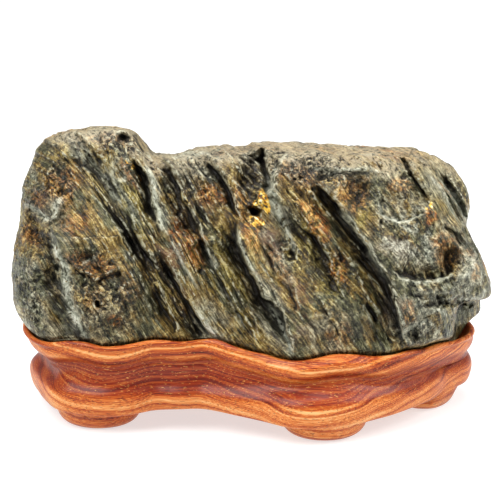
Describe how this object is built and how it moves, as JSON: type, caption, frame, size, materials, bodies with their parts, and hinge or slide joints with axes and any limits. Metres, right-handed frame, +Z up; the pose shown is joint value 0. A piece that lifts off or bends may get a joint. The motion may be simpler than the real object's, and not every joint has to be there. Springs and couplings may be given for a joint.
{
  "type": "scholars rock on a carved wooden stand",
  "caption": "Natural stone with a raised knob, a flat top and slanting clefts, resting in the fitted seat of a low carved hardwood stand on rounded feet.",
  "frame": {"origin": "on the floor, under the middle of the bounding box", "axes": "+X along the rock's length, towards its beak; -Y towards the viewer, the side with the clefts; +Z up"},
  "size_m": [0.2631, 0.1303, 0.156],
  "materials": {
    "stone": "oiled natural river stone, satin",
    "wood": "reddish brown hardwood, satin varnish"
  },
  "bodies": {
    "root": {"rock": "stone", "stand": "wood"}
  },
  "joints": []
}
